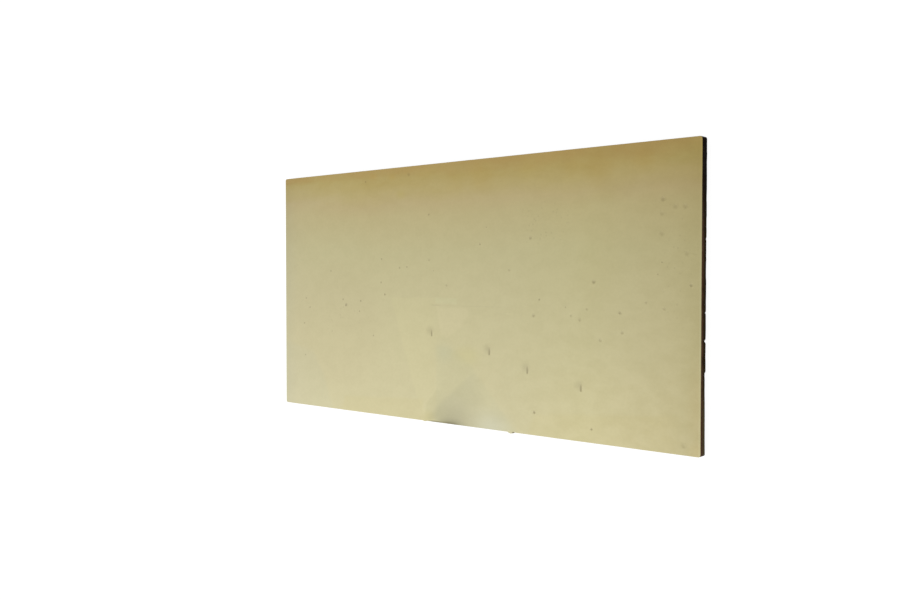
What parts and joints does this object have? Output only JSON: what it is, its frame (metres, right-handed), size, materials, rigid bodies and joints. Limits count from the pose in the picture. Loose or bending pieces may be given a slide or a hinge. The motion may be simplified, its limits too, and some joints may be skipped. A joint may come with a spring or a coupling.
{
  "type": "faux stone wall panel",
  "caption": "Rectangular moulded foam wall panel with a flat smooth back and a face of split stones laid in random courses with recessed joints.",
  "frame": {"origin": "centre of the bounding box at floor level, with the panel lying on its stones", "axes": "+X along the panel's length, +Y up its height as it hangs on a wall, +Z out of its flat back"},
  "size_m": [1.2192, 0.613, 0.028],
  "materials": {
    "moulded_foam": "matte, yellowed moulded skin, dark brown on the edges and the stone face"
  },
  "bodies": {
    "root": {"stone_panel": "moulded_foam"}
  },
  "joints": []
}
